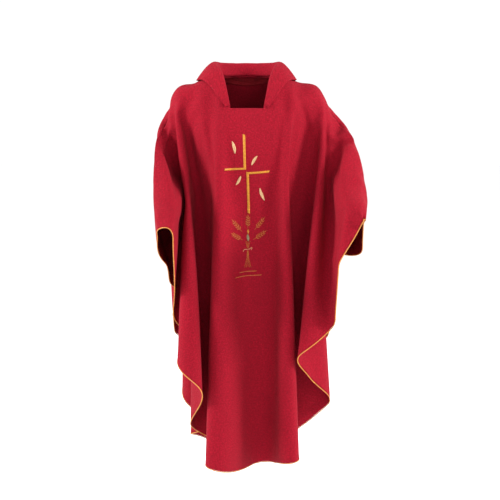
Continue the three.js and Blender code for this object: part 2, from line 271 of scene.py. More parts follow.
def ring_faces(rings, segments):
    return [(i * segments + j, i * segments + (j + 1) % segments,
             (i + 1) * segments + (j + 1) % segments, (i + 1) * segments + j)
            for i in range(rings - 1) for j in range(segments)]


def limb(name, start_radius, end_radius, length, segments=24, cap=6):
    """Round-ended rod along +Z."""
    quarter = np.linspace(0, math.pi / 2, cap + 1)
    steps = max(2, int(length / 0.03))
    profile = [(start_radius * math.sin(a), -start_radius * math.cos(a)) for a in quarter]
    profile += [(start_radius + (end_radius - start_radius) * i / steps, length * i / steps)
                for i in range(1, steps)]
    profile += [(end_radius * math.cos(a), length + end_radius * math.sin(a)) for a in quarter]
    turns = np.linspace(0, 2 * math.pi, segments, endpoint=False)
    points = [(max(r, 1e-5) * math.cos(t), max(r, 1e-5) * math.sin(t), z)
              for r, z in profile for t in turns]
    return obstacle(mesh_object(name, points, ring_faces(len(profile), segments)))


def body_form():
    heights = np.arange(BODY[0][0], BODY[-1][0] - 0.001, -0.02)
    known = [-row[0] for row in BODY]
    segments, power, points = 48, 2 / BODY_SQUARENESS, []
    for z in heights:
        wide, deep, middle = (np.interp(-z, known, [row[k] for row in BODY]) for k in (1, 2, 3))
        for t in np.linspace(0, 2 * math.pi, segments, endpoint=False):
            c, s = math.cos(t), math.sin(t)
            points.append((wide * math.copysign(abs(c) ** power, c),
                           middle + deep * math.copysign(abs(s) ** power, s), z))
    rings = len(heights)
    faces = [f[::-1] for f in ring_faces(rings, segments)]
    faces += [tuple(range(segments)), tuple(range((rings - 1) * segments, rings * segments))[::-1]]
    return obstacle(mesh_object("form_body", points, faces))


def progress(frame_number, span):
    return float(smoothstep(frame_number, *span))


def keyed(obj, frame_number, place, direction=None):
    obj.location = place
    obj.keyframe_insert("location", frame=frame_number)
    if direction is not None:
        obj.rotation_mode = "QUATERNION"
        obj.rotation_quaternion = direction.to_track_quat("Z", "Y")
        obj.keyframe_insert("rotation_quaternion", frame=frame_number)


def arm_forms(hand):
    """Upper arm and forearm, which start in line with the seam and come down to rest."""
    upper = ELBOW[hand] - SHOULDER[hand]
    fore = WRIST[hand] - ELBOW[hand]
    parts = [limb("form_upper", UPPER_ARM, ELBOW_RADIUS, upper.length),
             limb("form_fore", ELBOW_RADIUS, WRIST_RADIUS, fore.length + HAND)]
    sideways = Vector((hand, 0, -SEAM_SLOPE)).normalized()
    for number in range(1, ARMS_MOVE[1] + 1, 2):
        t = progress(number, ARMS_MOVE)
        upper_way = sideways.slerp(upper.normalized(), t)
        fore_way = sideways.slerp(fore.normalized(), t)
        keyed(parts[0], number, SHOULDER[hand], upper_way)
        keyed(parts[1], number, SHOULDER[hand] + upper_way * upper.length, fore_way)
    return parts


def pressing_rod(name, radius, start, end, span):
    """Rod that moves from one line to another; start and end are its two ends there."""
    rod = limb(name, radius, radius, (Vector(end[1]) - Vector(end[0])).length)
    for number in range(1, LAST_FRAME + 1, 2):
        t = progress(number, span)
        top, foot = (Vector(a).lerp(Vector(b), t) for a, b in zip(start, end))
        keyed(rod, number, top, (foot - top).normalized())
    return rod


def side_board(name, hand, rest_x, top):
    """Upright board that moves in from the side as far as rest_x."""
    bm = bmesh.new()
    bmesh.ops.create_cube(bm, size=1)
    for v in bm.verts:
        v.co = Vector((v.co.x * BOARD_THICK + (BOARD_LEAN * hand if v.co.z > 0 else 0),
                       v.co.y * BOARD_DEEP, (top + FLOOR) / 2 + v.co.z * (top - FLOOR)))
    bmesh.ops.subdivide_edges(bm, edges=bm.edges, cuts=6, use_grid_fill=True)
    mesh = bpy.data.meshes.new(name)
    bm.to_mesh(mesh)
    bm.free()
    board = obstacle(link(bpy.data.objects.new(name, mesh)))
    for number in range(1, SIDES_MOVE[1] + 1, 2):
        x = hand * BOARD_START + (rest_x - hand * BOARD_START) * progress(number, SIDES_MOVE)
        keyed(board, number, (x + hand * BOARD_THICK / 2, 0, 0))
    return board


def hidden_form():
    """Everything that the cloth is draped over and pressed by."""
    return [
        body_form(), *arm_forms(LEFT), *arm_forms(RIGHT),
        pressing_rod("crease_left", CREASE_RADIUS[LEFT],
                     [(-0.275, -0.42, ROD_TOP), (-0.245, -0.40, ROD_FOOT)],
                     [(-0.152, -0.100, ROD_TOP), (-0.118, -0.01, ROD_FOOT)], CREASES_MOVE),
        pressing_rod("crease_right", CREASE_RADIUS[RIGHT],
                     [(0.28, -0.42, ROD_TOP), (0.30, -0.40, ROD_FOOT)],
                     [(0.152, -0.105, ROD_TOP), (0.195, -0.02, ROD_FOOT)], CREASES_MOVE),
        pressing_rod("valley", VALLEY_RADIUS,
                     [(VALLEY_X, -0.38, VALLEY_TOP), (VALLEY_X, -0.44, ROD_FOOT)],
                     [(VALLEY_X, -0.205, VALLEY_TOP), (VALLEY_X, -0.01, ROD_FOOT)],
                     VALLEY_MOVES),
        side_board("board_left", LEFT, -0.245, -0.62),
        side_board("board_right", RIGHT, 0.275, -0.60)]


# ---------------------------------------------------------------- draping

SEW_RADIUS = 0.06                # roundness of the unstressed cloth along the seams
LIMB_RADIUS, CHEST_RADIUS = 0.062, 0.105     # roundness of its start shape, arms and chest


def hung(places, radius):
    """Both panels hanging from a straight seam, turned over it with the given radius."""
    x, z, side = places.T
    lean = math.cos(math.atan(SEAM_SLOPE))
    depth = np.maximum((-z - np.abs(x) * SEAM_SLOPE) * lean, 0)
    turn = np.minimum(depth / radius, math.pi / 2)
    fall = np.where(depth < radius * math.pi / 2, radius * (1 - np.cos(turn)),
                    radius + depth - radius * math.pi / 2)
    return np.stack([x, side * radius * np.sin(turn), z + (depth - fall) * lean], 1)


def start_shape(places):
    """The garment held out sideways, standing clear of the chest and back."""
    x, z, side = places.T
    near = np.clip((0.30 - np.abs(x)) / 0.12, 0, 1)
    shape = hung(places, LIMB_RADIUS + (CHEST_RADIUS - LIMB_RADIUS) * near)
    shape[:, 1] += (side * 0.035 * smoothstep(-z, 0.17, 0.30)
                    * np.clip((0.34 - np.abs(x)) / 0.12, 0, 1))
    return shape


def on_neck_edge(x, z, side):
    reach = abs(x)
    if reach > NECK_TOP + 1e-4:
        return False
    if side != BACK:
        if abs(z + NECK_DROP) < 1e-3 or (reach >= NECK_FOOT - 1e-4 and z >= -NECK_DROP - 1e-4):
            return True
    if side == FRONT:
        return False
    arc = seam_height(NECK_TOP) - NECK_BACK * math.sqrt(1 - min(1, reach / NECK_TOP) ** 2)
    return abs(z - arc) < 2.5e-3


def cloth_object(places, faces):
    cloth = mesh_object("cloth", start_shape(places), [corners for _, corners in faces])
    for polygon, (side, _) in zip(cloth.data.polygons, faces):
        polygon.material_index = 0 if side == FRONT else 1
    cloth.data.materials.append(None)
    cloth.data.materials.append(None)
    bm = bmesh.new()
    bm.from_mesh(cloth.data)
    bmesh.ops.join_triangles(bm, faces=bm.faces, cmp_materials=True,
                             angle_face_threshold=math.radians(30),
                             angle_shape_threshold=math.radians(30))
    bm.to_mesh(cloth.data)
    bm.free()
    cloth.shape_key_add(name="Basis")
    rest = cloth.shape_key_add(name="rest")
    rest.data.foreach_set("co", hung(places, SEW_RADIUS).astype(np.float32).ravel())
    cloth.active_shape_key_index = 0
    held = [i for i, place in enumerate(places) if on_neck_edge(*place)]
    cloth.vertex_groups.new(name="neck").add(held, 1.0, "REPLACE")
    return cloth, rest


def drape(cloth, rest):
    """Simulates the cloth over the hidden form and returns its points."""
    scene = bpy.context.scene
    scene.use_gravity = True
    scene.gravity = (0, 0, -9.81)
    forms = hidden_form()
    modifier = cloth.modifiers.new("cloth", "CLOTH")
    s = modifier.settings
    s.quality = 6
    s.mass = 0.3
    s.tension_stiffness = s.compression_stiffness = 20
    s.shear_stiffness = 10
    s.bending_stiffness = 2.2
    s.bending_damping = 1.0
    s.tension_damping = s.compression_damping = s.shear_damping = 5
    s.air_damping = 2
    s.rest_shape_key = rest
    s.vertex_group_mass = "neck"
    s.pin_stiffness = 1.0
    c = modifier.collision_settings
    c.use_collision = c.use_self_collision = True
    c.collision_quality = 3
    c.distance_min = c.self_distance_min = 0.006
    c.friction = 5
    modifier.point_cache.frame_start, modifier.point_cache.frame_end = 1, LAST_FRAME
    scene.frame_end = LAST_FRAME
    for number in range(1, LAST_FRAME + 1):
        scene.frame_set(number)
    shaped = cloth.evaluated_get(bpy.context.evaluated_depsgraph_get())
    mesh = shaped.to_mesh()
    points = np.zeros(len(mesh.vertices) * 3, np.float32)
    mesh.vertices.foreach_get("co", points)
    shaped.to_mesh_clear()
    cloth.modifiers.remove(modifier)
    for form in forms:
        if form.animation_data and form.animation_data.action:
            bpy.data.actions.remove(form.animation_data.action)
        bpy.data.objects.remove(form)
    scene.frame_set(1)
    return points.reshape(-1, 3).astype(float)


# ---------------------------------------------------------------- the draped surface

FINENESS = 2                     # subdivisions of the draped cloth


def subdivided(points, faces, corners):
    """Points and faces after smooth subdivision; the listed corners stay sharp."""
    obj = mesh_object("subdividing", points, faces)
    crease = obj.data.attributes.new("crease_vert", "FLOAT", "POINT")
    for i in corners:
        crease.data[i].value = 1.0
    modifier = obj.modifiers.new("smooth", "SUBSURF")
    modifier.levels = FINENESS
    modifier.boundary_smooth = "PRESERVE_CORNERS"
    shaped = obj.evaluated_get(bpy.context.evaluated_depsgraph_get())
    mesh = shaped.to_mesh()
    out = np.array([v.co[:] for v in mesh.vertices])
    polygons = [tuple(p.vertices) for p in mesh.polygons]
    shaped.to_mesh_clear()
    bpy.data.objects.remove(obj)
    return out, polygons


def normals_of(points, faces):
    """Unit normals of the points, each face weighing by its area."""
    quads = np.array(faces)
    a, b, c, d = (points[quads[:, k]] for k in range(4))
    across = np.cross(c - a, d - b)
    normals = np.zeros_like(points)
    for k in range(4):
        np.add.at(normals, quads[:, k], across)
    return normals / np.maximum(np.linalg.norm(normals, axis=1, keepdims=True), 1e-12)


class Panel:
    """A draped panel, and the way from a place on its flat cut to a point in space."""

    def __init__(self, side, places, points, faces):
        used = sorted({i for f in faces for i in f})
        index = {old: new for new, old in enumerate(used)}
        faces = [[index[i] for i in f] for f in faces]
        flat = places[used].copy()
        flat[:, 2] = 0
        corners = [i for i, (x, z, _) in enumerate(flat) if self.is_corner(side, x, z)]
        self.side = side
        self.points, self.faces = subdivided(points[used], faces, corners)
        self.flat, _ = subdivided(flat, faces, corners)
        self.normals = normals_of(self.points, self.faces)
        if self.normals[:, 1].mean() * side < 0:
            self.normals *= -1
            self.faces = [f[::-1] for f in self.faces]
        self.triangles = [t for f in self.faces for t in ((f[0], f[1], f[2]), (f[0], f[2], f[3]))]
        self.tree = BVHTree.FromPolygons([tuple(p) for p in self.flat], self.triangles)

    @staticmethod
    def is_corner(side, x, z):
        corners = [(HALF_WIDTH, seam_height(HALF_WIDTH)), (NECK_TOP, seam_height(NECK_TOP))]
        if side == FRONT:
            corners.append((NECK_FOOT, -NECK_DROP))
        return any(math.hypot(abs(x) - cx, z - cz) < 1e-3 for cx, cz in corners)

    def at(self, x, z, lift=0.0):
        """Point over the place (x, z) of the cut, lifted away from the wearer."""
        hit, _, face, _ = self.tree.find_nearest(Vector((x, z, 0)))
        i, j, k = self.triangles[face]
        a, b, c = self.flat[i, :2], self.flat[j, :2], self.flat[k, :2]
        p = np.array(hit[:2])
        whole = (b[0] - a[0]) * (c[1] - a[1]) - (b[1] - a[1]) * (c[0] - a[0])
        v = ((p[0] - a[0]) * (c[1] - a[1]) - (p[1] - a[1]) * (c[0] - a[0])) / whole
        w = ((b[0] - a[0]) * (p[1] - a[1]) - (b[1] - a[1]) * (p[0] - a[0])) / whole
        weights = np.array([1 - v - w, v, w])
        point = weights @ self.points[[i, j, k]]
        normal = weights @ self.normals[[i, j, k]]
        return point + normal * (lift / max(np.linalg.norm(normal), 1e-9))

    def rim(self):
        """The point numbers round the free edge, in order."""
        count = {}
        for f in self.faces:
            for a, b in zip(f, f[1:] + f[:1]):
                count[(a, b)] = True
        following = {a: b for a, b in count if (b, a) not in count}
        loop = [next(iter(following))]
        while following[loop[-1]] != loop[0]:
            loop.append(following[loop[-1]])
        return loop


# ---------------------------------------------------------------- pieces

def add_piece(name, points, faces, flat, material, nodes):
    """A piece that stands for the CAD nodes; flat gives each point's (u, v) in metres."""
    piece = mesh_object(name, points, faces)
    mesh = piece.data
    mesh.materials.append(material)
    mesh.polygons.foreach_set("use_smooth", [True] * len(mesh.polygons))
    layer = mesh.uv_layers.new(name="cloth")
    corner = np.zeros(len(mesh.loops), np.int32)
    mesh.loops.foreach_get("vertex_index", corner)
    layer.data.foreach_set("uv", np.asarray(flat, np.float32)[corner].ravel())
    mesh.update()
    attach(piece, "root")
    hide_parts(*nodes)
    return piece


class Parts:
    """Gathers the points, faces and flat places of one piece."""

    def __init__(self):
        self.points, self.faces, self.flat = [], [], []

    def add(self, points, faces, flat):
        first = len(self.points)
        self.points.extend(tuple(p) for p in points)
        self.faces.extend(tuple(first + i for i in f) for f in faces)
        self.flat.extend(tuple(p) for p in flat)

    def add_plate(self, outer, inner, flat):
        """Closed solid between two matching grids of points (rows, columns, 3)."""
        rows, columns = outer.shape[:2]
        count = rows * columns

        def at(i, j):
            return i * columns + j

        faces = []
        for i in range(rows - 1):
            for j in range(columns - 1):
                a, b, c, d = at(i, j), at(i, j + 1), at(i + 1, j + 1), at(i + 1, j)
                faces += [(a, b, c, d), (count + a, count + d, count + c, count + b)]
        edge = [at(0, j) for j in range(columns - 1)]
        edge += [at(i, columns - 1) for i in range(rows - 1)]
        edge += [at(rows - 1, j) for j in range(columns - 1, 0, -1)]
        edge += [at(i, 0) for i in range(rows - 1, 0, -1)]
        faces += [(a, count + a, count + b, b) for a, b in zip(edge, edge[1:] + edge[:1])]
        outer, inner = outer.reshape(-1, 3), inner.reshape(-1, 3)
        a, b, d = outer[0], outer[1], outer[columns]
        if np.dot(np.cross(b - a, d - a), a - inner[0]) < 0:
            faces = [f[::-1] for f in faces]
        flat = np.asarray(flat).reshape(-1, 2)
        self.add(np.concatenate([outer, inner]), faces, np.concatenate([flat, flat]))

    def piece(self, name, material, *nodes):
        return add_piece(name, self.points, self.faces, self.flat, material, nodes)


def panel_piece(name, panel, material, node):
    """The panel as a closed shell of the cloth's thickness."""
    count = len(panel.points)
    points = np.concatenate([panel.points + panel.normals * CLOTH / 2,
                             panel.points - panel.normals * CLOTH / 2])
    rim = panel.rim()
    faces = list(panel.faces)
    faces += [tuple(count + i for i in f[::-1]) for f in panel.faces]
    faces += [(b, a, count + a, count + b) for a, b in zip(rim, rim[1:] + rim[:1])]
    flat = panel.flat[:, :2]
    return add_piece(name, points, faces, np.concatenate([flat, flat]), material, [node])


# ---------------------------------------------------------------- hem cords

CORD_RADIUS = 0.0018
CORD_STRANDS = 3
CORD_TWIST = 0.012               # length of a full turn
CORD_STEP = 0.0012
CORD_SIDES = 9
CORD_GAP = 0.0002                # between the cord and the cloth's edge


def hem_cord(name, panel, material, node):
    """Twisted cord sewn along the free edge from one cuff to the other."""
    rim = panel.rim()
    cuffs = [min(range(len(rim)), key=lambda k: np.hypot(
        panel.flat[rim[k], 0] - hand * HALF_WIDTH,
        panel.flat[rim[k], 1] - seam_height(HALF_WIDTH))) for hand in (LEFT, RIGHT)]
    first, last = min(cuffs), max(cuffs)
    edge = rim[first:last + 1]
    if panel.flat[edge, 1].min() > -LENGTH / 2:
        edge = rim[last:] + rim[:first + 1]
    beside = {}
    for f in panel.faces:
        middle = panel.points[list(f)].mean(0)
        for i in f:
            beside.setdefault(i, []).append(middle)
    line = panel.points[edge]
    away = line - np.array([np.mean(beside[i], axis=0) for i in edge])
    tangent = unit(np.gradient(line, axis=0))
    normal = panel.normals[edge]
    away -= tangent * (away * tangent).sum(1, keepdims=True)
    away -= normal * (away * normal).sum(1, keepdims=True)
    away = unit(away)
    line = line + away * (CORD_RADIUS + CORD_GAP)
    reach = reach_along(line)
    at = np.linspace(0, reach[-1], int(reach[-1] / CORD_STEP) + 1)
    line, away, normal = (between(at, reach, rows) for rows in (line, away, normal))
    angles = np.linspace(0, 2 * math.pi, CORD_SIDES, endpoint=False)
    turn = 2 * math.pi * at[:, None] / CORD_TWIST
    radius = CORD_RADIUS * (0.84 + 0.16 * np.cos(CORD_STRANDS * (angles[None, :] - turn)))
    points = (line[:, None] + away[:, None] * (np.cos(angles) * radius)[..., None]
              + normal[:, None] * (np.sin(angles) * radius)[..., None])
    flat = np.stack([np.broadcast_to(at[:, None], radius.shape),
                     np.broadcast_to(angles * CORD_RADIUS, radius.shape)], -1)
    faces = ring_faces(len(at), CORD_SIDES)
    if panel.side == BACK:
        faces = [f[::-1] for f in faces]
    ends = [tuple(range(CORD_SIDES))[::-1],
            tuple(range((len(at) - 1) * CORD_SIDES, len(at) * CORD_SIDES))]
    faces += ends if panel.side == FRONT else [f[::-1] for f in ends]
    cord = Parts()
    cord.add(points.reshape(-1, 3), faces, flat.reshape(-1, 2))
    return cord.piece(name, material, node)


# ---------------------------------------------------------------- strips inside the neck

TAPE = 0.0006
STRIP_LIFT = -0.0018             # middle of the strips, inside the cloth
FACING_WIDTH = 0.034
TAPE_HALF_WIDTH = 0.009


def ribbon(path, half_width, across):
    """Grid of places (rows, columns, 2) along a path of places, with mitred corners."""
    path = np.array(path)
    before = np.diff(path, axis=0, prepend=path[:1] - (path[1:2] - path[:1]))
    after = np.diff(path, axis=0, append=path[-1:] + (path[-1:] - path[-2:-1]))
    before, after = unit(before), unit(after)
    mean = unit(before + after)
    reach = half_width / np.maximum((mean * before).sum(1), 0.5)
    sideways = np.stack([-mean[:, 1], mean[:, 0]], 1) * reach[:, None]
    steps = np.linspace(-1, 1, across + 1)
    return path[:, None] + sideways[:, None] * steps[None, :, None]


def facing(name, panel, material, node):
    """Strip of lining cloth inside the neck edge."""
    inset = FACING_WIDTH / 2 + 0.002
    if panel.side == FRONT:
        corners = [(-NECK_TOP - inset, seam_height(NECK_TOP + inset) - 0.004),
                   (-NECK_FOOT - inset, -NECK_DROP - inset),
                   (NECK_FOOT + inset, -NECK_DROP - inset),
                   (NECK_TOP + inset, seam_height(NECK_TOP + inset) - 0.004)]
        legs = [resampled(pair, 0.006) for pair in zip(corners, corners[1:])]
        path = np.concatenate([leg[:-1] for leg in legs] + [legs[-1][-1:]])
    else:
        top = seam_height(NECK_TOP + inset) - 0.004
        path = [(-(NECK_TOP + inset) * math.cos(a), top - (NECK_BACK + inset) * math.sin(a))
                for a in np.linspace(0, math.pi, 49)]
    places = ribbon(path, FACING_WIDTH / 2, 8)
    grid = lambda lift: np.array([[panel.at(x, z, lift) for x, z in row] for row in places])
    strip = Parts()
    strip.add_plate(grid(STRIP_LIFT - TAPE / 2), grid(STRIP_LIFT + TAPE / 2), places)
    return strip.piece(name, material, node)


def seam_tape(name, panels, hand, material, node):
    """Tape over the raw edges of a shoulder seam, half on each panel."""
    xs = hand * np.arange(NECK_TOP + FACING_WIDTH + 0.012, HALF_WIDTH - 0.03, 0.008)
    widths = (TAPE_HALF_WIDTH, TAPE_HALF_WIDTH / 2)

    def grid(lift):
        rows = []
        for x in xs:
            seam = seam_height(x)
            front = [panels[FRONT].at(x, seam - d, lift) for d in widths]
            back = [panels[BACK].at(x, seam - d, lift) for d in widths]
            ridge = (panels[FRONT].at(x, seam, lift) + panels[BACK].at(x, seam, lift)) / 2
            rows.append([*back, ridge, *front[::-1]])
        return np.array(rows)

    across = np.linspace(-TAPE_HALF_WIDTH, TAPE_HALF_WIDTH, 5)
    flat = np.array([[(x, v) for v in across] for x in xs])
    strip = Parts()
    strip.add_plate(grid(STRIP_LIFT - TAPE / 2), grid(STRIP_LIFT + TAPE / 2), flat)
    return strip.piece(name, material, node)


# ---------------------------------------------------------------- collar

COLLAR_RISE = 0.054              # height of the roll above the neck seam
COLLAR_FALL = 0.072              # width of the turned-down part on the shoulders
COLLAR_TIP = 0.012               # and at the front corners
COLLAR_CLEAR = 0.0034            # under the collar's middle, over the cloth
COLLAR_LAYER = 0.0014            # spacing of its three layers
FRONT_SHARE = 0.24               # share of the neck edge that is a front edge, each side
NECK_ROUND = 0.62                # length of the neck edge that the collar is sewn to
STITCHED_COLUMN = 26             # the collar's column of points that carries its stitching


def neck_edge(f):
    """Place of the neck edge from the front left corner (0) round the back to the front right
    corner (1): the panel, (x, z), and the direction away from the neck."""
    hand, g = (LEFT, f) if f < 0.5 else (RIGHT, 1 - f)
    if g < FRONT_SHARE:
        up = g / FRONT_SHARE
        x = NECK_FOOT + (NECK_TOP - NECK_FOOT) * up
        z = -NECK_DROP + (NECK_DROP + seam_height(NECK_TOP)) * up
        return FRONT, (hand * (x + 0.001), z), (hand, -SEAM_SLOPE)
    angle = math.pi / 2 * (g - FRONT_SHARE) / (0.5 - FRONT_SHARE)
    x = hand * NECK_TOP * math.cos(angle)
    z = seam_height(NECK_TOP) - NECK_BACK * math.sin(angle) - 0.001
    return BACK, (x, z), (hand * math.cos(angle), -math.sin(angle) - SEAM_SLOPE * math.cos(angle))


def bezier(a, b, c, d, t):
    return (a * (1 - t) ** 3 + 3 * b * t * (1 - t) ** 2 + 3 * c * t * t * (1 - t) + d * t ** 3)


def collar_grid(panels, along=150, across=28):
    """Middle surface of the collar: up from the neck edge, over the roll and down to the rim
    on the shoulders. Points (along, across, 3) and their (u, v) in metres."""
    points, flat = [], []
    for f in np.linspace(0.006, 0.994, along + 1):
        side, (x, z), (dx, dz) = neck_edge(f)
        g = min(f, 1 - f)
        grow = float(smoothstep(g, 0, 0.26))
        fall = COLLAR_TIP + (COLLAR_FALL - COLLAR_TIP) * min(g / 0.22, 1)
        foot = panels[side].at(x, z, COLLAR_CLEAR)
        rim = panels[side].at(x + dx * fall, z + dz * fall, COLLAR_CLEAR + 0.0015)
        out = (rim - foot) * (1, 1, 0)
        out /= np.linalg.norm(out)
        rise = 0.006 + (COLLAR_RISE - 0.006) * grow
        roll = foot + out * (0.002 + 0.008 * grow)
        roll[2] = foot[2] + rise * 1.25
        shoulder = foot + (rim - foot) * 0.45
        shoulder[2] = max(foot[2], rim[2]) + rise * 0.95
        row = [bezier(foot, roll, shoulder, rim, t) for t in np.linspace(0, 1, across + 1)]
        points.append(row)
        flat.append([(f * NECK_ROUND, r) for r in reach_along(row)])
    return np.array(points), np.array(flat)


def grid_normals(points):
    along = np.gradient(points, axis=0)
    across = np.gradient(points, axis=1)
    return unit(np.cross(along, across))


def stitch_row(parts, line, normals, length=0.0028, gap=0.0012, radius=0.00035):
    """Sewing stitches laid along a line of points."""
    reach = reach_along(line)
    angles = np.linspace(0, 2 * math.pi, 5, endpoint=False)
    for start in np.arange(0.004, reach[-1] - 0.006, length + gap):
        at = start + np.linspace(0, length, 5)
        spine, normal = between(at, reach, line), between(at, reach, normals)
        tangent = spine[-1] - spine[0]
        side = np.cross(tangent / np.linalg.norm(tangent), normal)
        arch = np.sin(np.linspace(0.15, math.pi - 0.15, 5))
        spine = spine + normal * (arch * radius)[:, None]
        rings = (spine[:, None] + side[:, None] * (np.cos(angles) * radius)[None, :, None]
                 * arch[:, None, None]
                 + normal[:, None] * (np.sin(angles) * radius)[None, :, None]
                 * arch[:, None, None])
        faces = ring_faces(5, 5) + [(4, 3, 2, 1, 0), (20, 21, 22, 23, 24)]
        parts.add(rings.reshape(-1, 3), faces, np.repeat(np.stack([at, at * 0], 1), 5, axis=0))


def collar(panels, cloth, lining):
    points, flat = collar_grid(panels)
    normals = grid_normals(points)
    if normals[len(points) // 2, 14, 2] < 0:
        normals = -normals
    pieces = []
    for name, node, material, lift, thick, trim in (
            ("collar_upper_cloth", "collar_top", cloth, COLLAR_LAYER, 0.0012, 0),
            ("collar_stiffening", "collar_interlining", lining, 0.0, 0.0008, 3),
            ("collar_lower_cloth", "collar_under", cloth, -COLLAR_LAYER, 0.0012, 1)):
        rows, columns = slice(trim, len(points) - trim), slice(trim // 2, points.shape[1] - trim)
        middle, normal, place = (grid[rows, columns] for grid in (points, normals, flat))
        layer = Parts()
        layer.add_plate(middle + normal * (lift + thick / 2), middle + normal * (lift - thick / 2),
                        place)
        if node == "collar_top":
            outward = normal[2:-2, STITCHED_COLUMN]
            line = middle[2:-2, STITCHED_COLUMN] + outward * (lift + thick / 2)
            stitch_row(layer, line, outward)
        pieces.append(layer.piece(name, material, node))
    return pieces


# ---------------------------------------------------------------- embroidery
# Places are in millimetres, x to the viewer's right and y up from the centre of the cross.

CROSS_DROP = 0.374               # centre of the cross below neck level, on the flat cloth
BAR = 7.5                        # width of the cross's bars
STITCH_PITCH = 0.55              # between satin stitches
GROUND = 0.0008                  # underside of the embroidery, over the middle of the cloth
RELIEF = 0.0013                  # height of the satin stitch over the cloth


def on_front(panels, place, lift):
    return panels[FRONT].at(place[0] / 1000, place[1] / 1000 - CROSS_DROP, lift)


def satin(parts, panels, path, half_width, chance, pitch=STITCH_PITCH, slant=0.35,
          relief=RELIEF, columns=7):
    """Threads laid side by side across a path, a raised row for each thread. half_width is in
    millimetres, as a number or a function of the fraction of the way along."""
    width = half_width if callable(half_width) else lambda f: half_width
    path = resampled(path, pitch / 2)
    steps = len(path)
    tangent = unit(np.gradient(path, axis=0))
    across = np.linspace(-1, 1, columns)
    dome = np.sqrt(1 - (0.93 * across) ** 2)
    top, bottom, flat = [], [], []
    for k, (place, (tx, ty)) in enumerate(zip(path, tangent)):
        f = k / max(steps - 1, 1)
        reach = width(f) * (1 + chance.uniform(-0.05, 0.05))
        crest = 1.0 if k % 2 else 0.70
        crest *= 0.35 if k in (0, steps - 1) else 1.0
        rows = [[], [], []]
        for j, s in enumerate(across):
            shift = slant * reach * s
            x = place[0] - ty * reach * s + tx * shift
            y = place[1] + tx * reach * s + ty * shift
            lift = GROUND + relief * crest * dome[j]
            rows[0].append(on_front(panels, (x, y), lift))
            rows[1].append(on_front(panels, (x, y), GROUND - 0.0003))
            rows[2].append((reach * s / 1000, f * steps * pitch / 2000))
        top.append(rows[0])
        bottom.append(rows[1])
        flat.append(rows[2])
    parts.add_plate(np.array(top), np.array(bottom), np.array(flat))


def spindle_width(width, blunt=0.6):
    return lambda f: blunt + (width / 2 - blunt * 0.5) * math.sin(math.pi * (f * 0.9 + 0.05))


def satin_piece(name, panels, material, node, legs, chance, **options):
    parts = Parts()
    for path, half_width in legs:
        satin(parts, panels, path, half_width, chance, **options)
    return parts.piece(name, material, node)


def leaf_piece(name, panels, material, node, start, end, width, bend, chance):
    """Leaf-shaped satin stitch with a slight bend."""
    start, end = np.array(start, float), np.array(end, float)
    way = end - start
    middle = (start + end) / 2 + np.array([-way[1], way[0]]) * bend
    path = [bezier(start, (start + 2 * middle) / 3, (end + 2 * middle) / 3, end, t)
            for t in np.linspace(0, 1, 21)]
    parts = Parts()
    satin(parts, panels, path, spindle_width(width, 0.4), chance, slant=0.6)
    return parts.piece(name, material, node)


def ear_piece(name, panels, material, node, tip, foot, chance):
    """Ear of wheat: a stem, pairs of slanting grains, a grain at the tip, and awns."""
    tip, foot = np.array(tip, float), np.array(foot, float)
    way = (tip - foot) / np.linalg.norm(tip - foot)
    side = np.array([-way[1], way[0]])
    length = np.linalg.norm(tip - foot)
    parts = Parts()
    satin(parts, panels, [foot, foot + way * length * 0.80], 0.45, chance, pitch=0.8, slant=1.2,
          relief=0.0007, columns=5)
    pairs, grain = 4, 8.5
    for n in range(pairs):
        base = foot + way * length * (0.20 + 0.66 * n / pairs)
        for hand in (LEFT, RIGHT):
            lean = (way * math.cos(0.72) + side * hand * math.sin(0.72))
            start = base + side * hand * 1.1 + way * (1.5 if hand == RIGHT else 0)
            end = start + lean * grain * (1.0 - 0.06 * n)
            satin(parts, panels, [start, end], spindle_width(2.8, 0.30), chance, pitch=0.65,
                  slant=0.5 * hand, relief=0.0011, columns=5)
            whisker = [end - lean * 1.0, end + lean * 1.5 + way * 3.0]
            satin(parts, panels, whisker, 0.22, chance, pitch=0.9, relief=0.0004, columns=3)
    satin(parts, panels, [tip - way * 10, tip - way * 1.5], spindle_width(2.8, 0.30), chance,
          pitch=0.65, relief=0.0011, columns=5)
    satin(parts, panels, [tip - way * 2.0, tip + way * 3.0], 0.22, chance, pitch=0.9,
          relief=0.0004, columns=3)
    return parts.piece(name, material, node)


def strand_piece(name, panels, material, node, paths, half_width, chance):
    """Lines of stem stitch: short overlapping stitches that slant along the line."""
    parts = Parts()
    for path in paths:
        satin(parts, panels, path, half_width, chance, pitch=1.5, slant=1.6, relief=0.0009,
              columns=5)
    return parts.piece(name, material, node)


def curve_through(points, steps=24):
    """Smooth path through the given places."""
    points = np.array(points, float)
    path = between(np.linspace(0, len(points) - 1, steps), np.arange(len(points)), points)
    for _ in range(3):
        path[1:-1] = (path[:-2] + 2 * path[1:-1] + path[2:]) / 4
    return path


